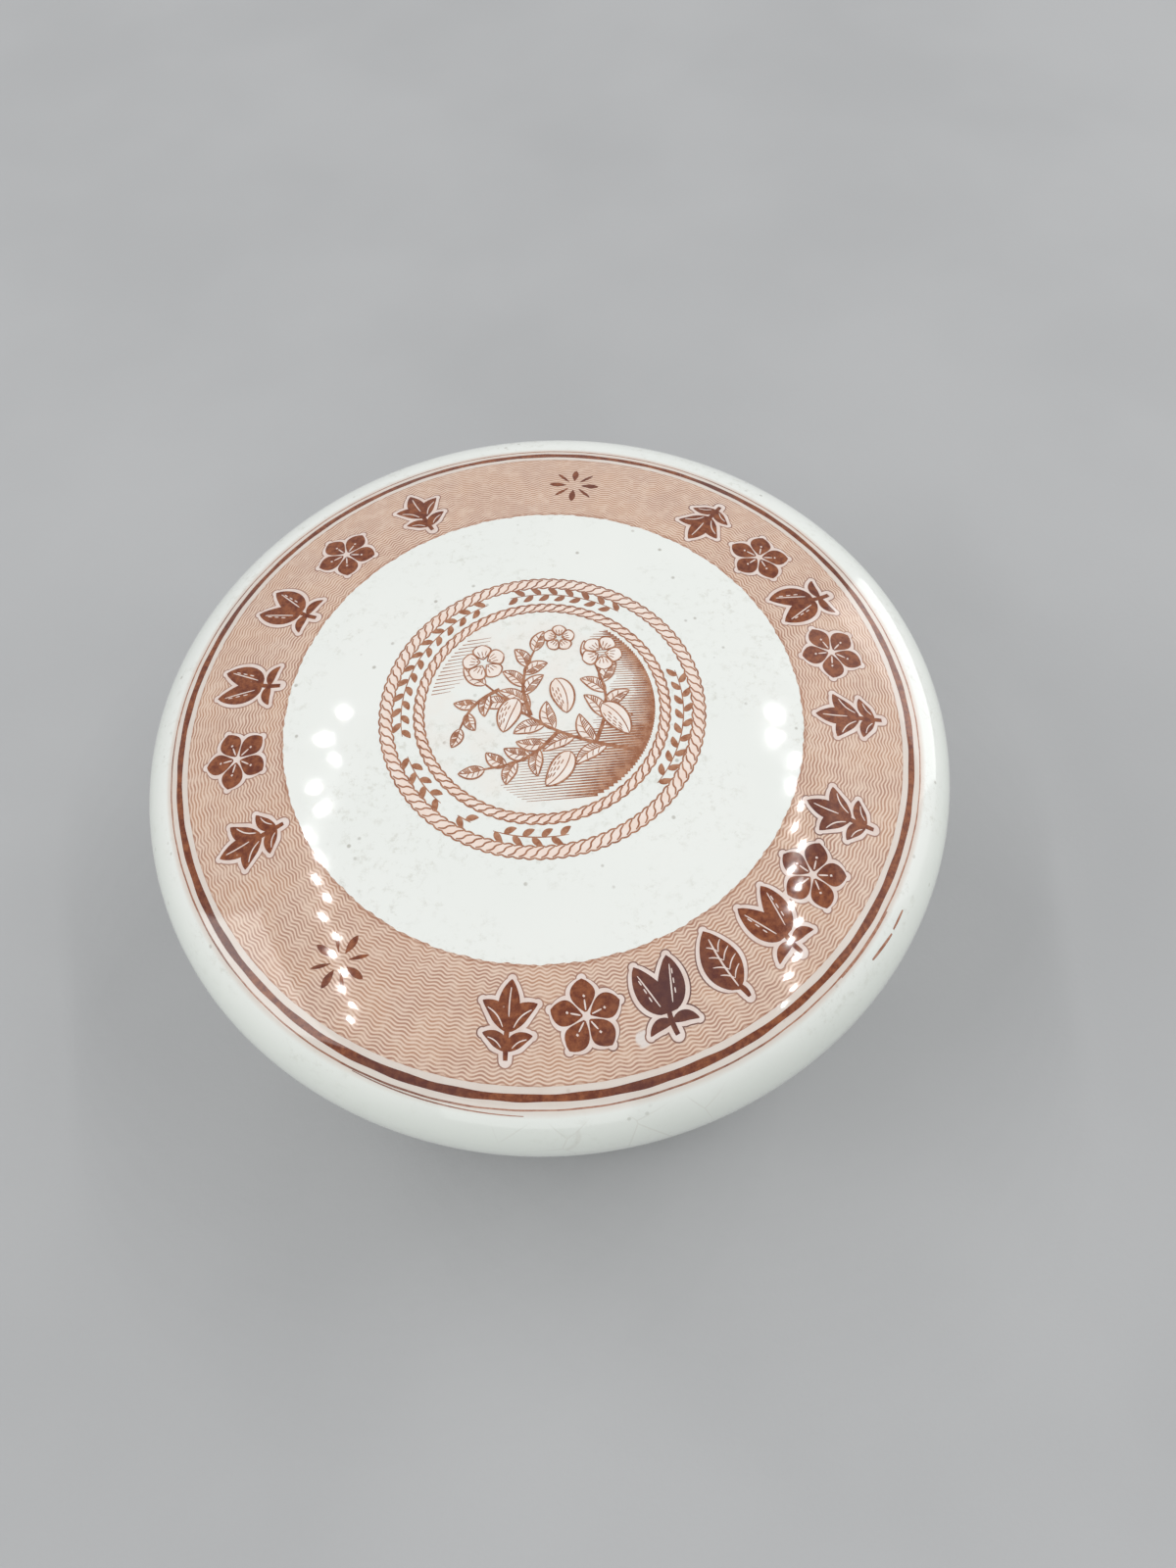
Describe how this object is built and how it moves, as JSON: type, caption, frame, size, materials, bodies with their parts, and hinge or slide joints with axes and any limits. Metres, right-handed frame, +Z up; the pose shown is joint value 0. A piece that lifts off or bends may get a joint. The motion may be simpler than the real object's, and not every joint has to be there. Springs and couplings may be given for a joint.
{
  "type": "shaving cream pot",
  "caption": "Round glazed earthenware pot with a loose domed lid, holding shaving cream under a waxed paper disc.",
  "frame": {"origin": "centre of the foot ring, on the surface that the pot stands on", "axes": "+Z up along the axis of the pot and its lid"},
  "size_m": [0.089, 0.089, 0.051],
  "materials": {
    "lid_glaze": "gloss",
    "pot_glaze": "gloss",
    "cream": "satin",
    "waxed_paper": "satin"
  },
  "bodies": {
    "pot": {"pot": "pot_glaze", "cream": "cream"},
    "lid": {"lid": "lid_glaze"},
    "parchment_disc": {"parchment_disc": "waxed_paper"}
  },
  "joints": [
    {"name": "lid_lift", "type": "slide", "parent": "pot", "child": "lid", "axis": [0, 0, 1], "range_m": [0, 0.06]},
    {"name": "disc_lift", "type": "slide", "parent": "pot", "child": "parchment_disc", "axis": [0, 0, 1], "range_m": [0, 0.015]}
  ]
}
